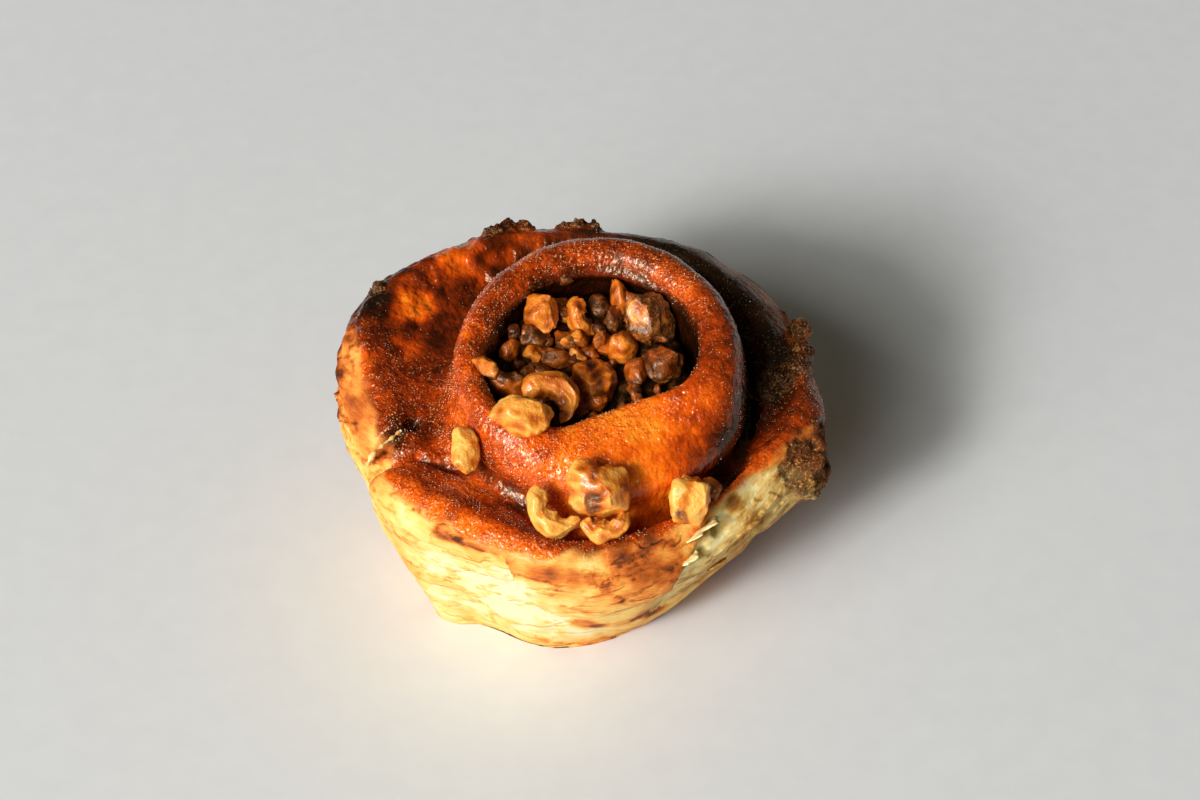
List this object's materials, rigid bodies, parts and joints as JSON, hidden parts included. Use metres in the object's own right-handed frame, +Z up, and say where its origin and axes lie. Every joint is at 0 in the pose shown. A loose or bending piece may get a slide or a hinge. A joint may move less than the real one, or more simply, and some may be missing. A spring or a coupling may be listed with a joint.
{
  "type": "sticky bun",
  "caption": "Spiral sticky bun baked in a tapered tin: a thick glazed ring of dough round a hollow heaped with chopped walnuts, over flaky layered sides.",
  "frame": {"origin": "middle of the bounding box, at the level of the flat base that the bun rests on", "axes": "+Z up along the roll's axis, -Y towards the lapped front with the torn edge at its right, +X to the right as seen from the front"},
  "size_m": [0.1006, 0.0934, 0.0631],
  "materials": {
    "baked_dough": "baked enriched dough, caramel-glazed and semi-gloss on top, matt and pale at the sides",
    "glazed_walnut": "chopped walnut coated in glossy caramel"
  },
  "bodies": {
    "root": {"dough": "baked_dough", "walnut_heap": "glazed_walnut", "walnut_1": "glazed_walnut", "walnut_2": "glazed_walnut", "walnut_3": "glazed_walnut", "walnut_4": "glazed_walnut", "walnut_5": "glazed_walnut", "walnut_6": "glazed_walnut", "walnut_7": "glazed_walnut", "walnut_8": "glazed_walnut", "walnut_9": "glazed_walnut"}
  },
  "joints": []
}
